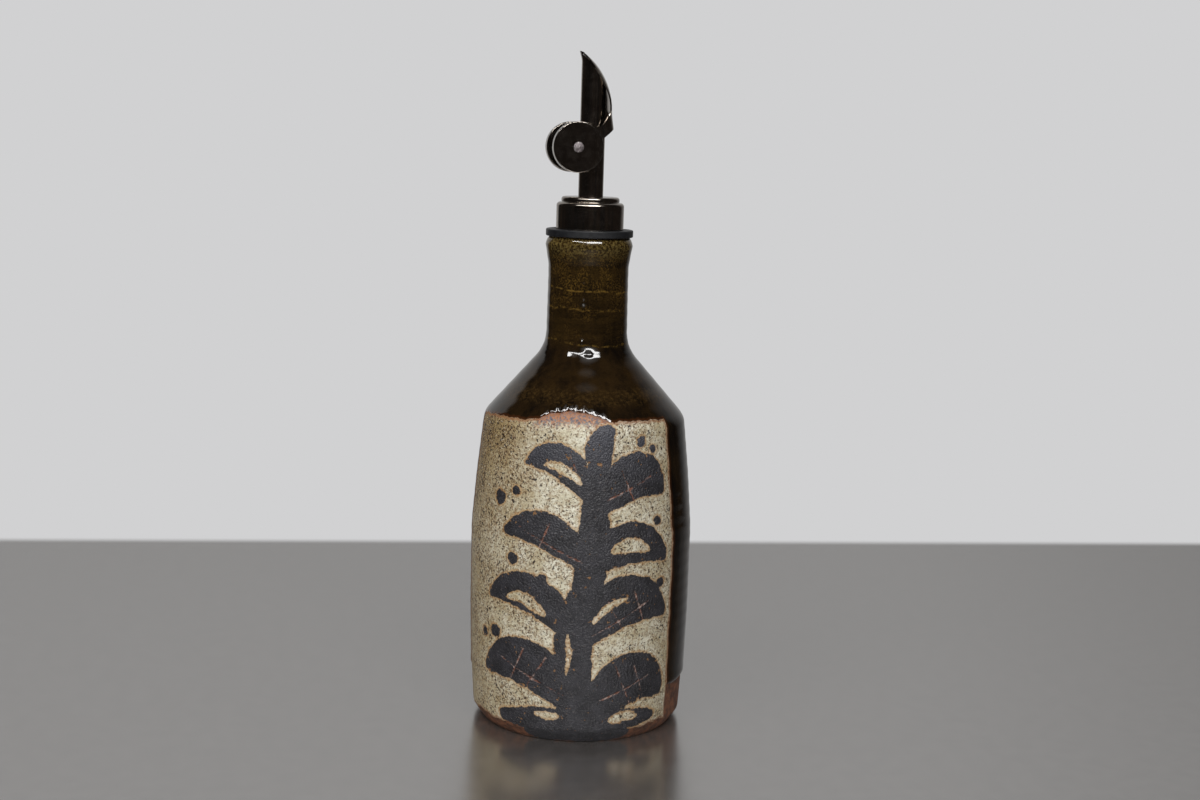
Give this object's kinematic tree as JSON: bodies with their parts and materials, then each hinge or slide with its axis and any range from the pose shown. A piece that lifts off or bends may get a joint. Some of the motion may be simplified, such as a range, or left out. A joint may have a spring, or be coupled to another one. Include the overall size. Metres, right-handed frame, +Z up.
{
  "type": "oil bottle",
  "caption": "Round stoneware oil bottle with a straight shoulder and slim neck, closed by a metal pourer whose weighted flap hinges open.",
  "frame": {"origin": "middle of the foot, on the surface that the bottle stands on", "axes": "+Z up along the bottle's axis; the spout's drip lip points to -X, the flap opens towards +X, and its hinge line runs along Y"},
  "size_m": [0.0738, 0.0738, 0.2216],
  "materials": {
    "stoneware": "satin cream panel with charcoal slip, gloss brown-black glaze elsewhere, bare clay foot",
    "rubber": "matte",
    "dark_metal": "polished black nickel",
    "rivet_metal": "polished"
  },
  "bodies": {
    "pot": {"bottle": "stoneware", "stopper": "rubber", "cap": "dark_metal", "spout_tube": "dark_metal"},
    "flap": {"flap_cover": "dark_metal", "pivot_front": "dark_metal", "pivot_back": "dark_metal", "weight_front": "dark_metal", "weight_back": "dark_metal", "rivet_front": "rivet_metal", "rivet_back": "rivet_metal"}
  },
  "joints": [
    {"name": "flap_hinge", "type": "hinge", "parent": "pot", "child": "flap", "pos_m": [0, 0, 0.1945], "axis": [0, 1, 0], "range_deg": [0, 70]}
  ]
}
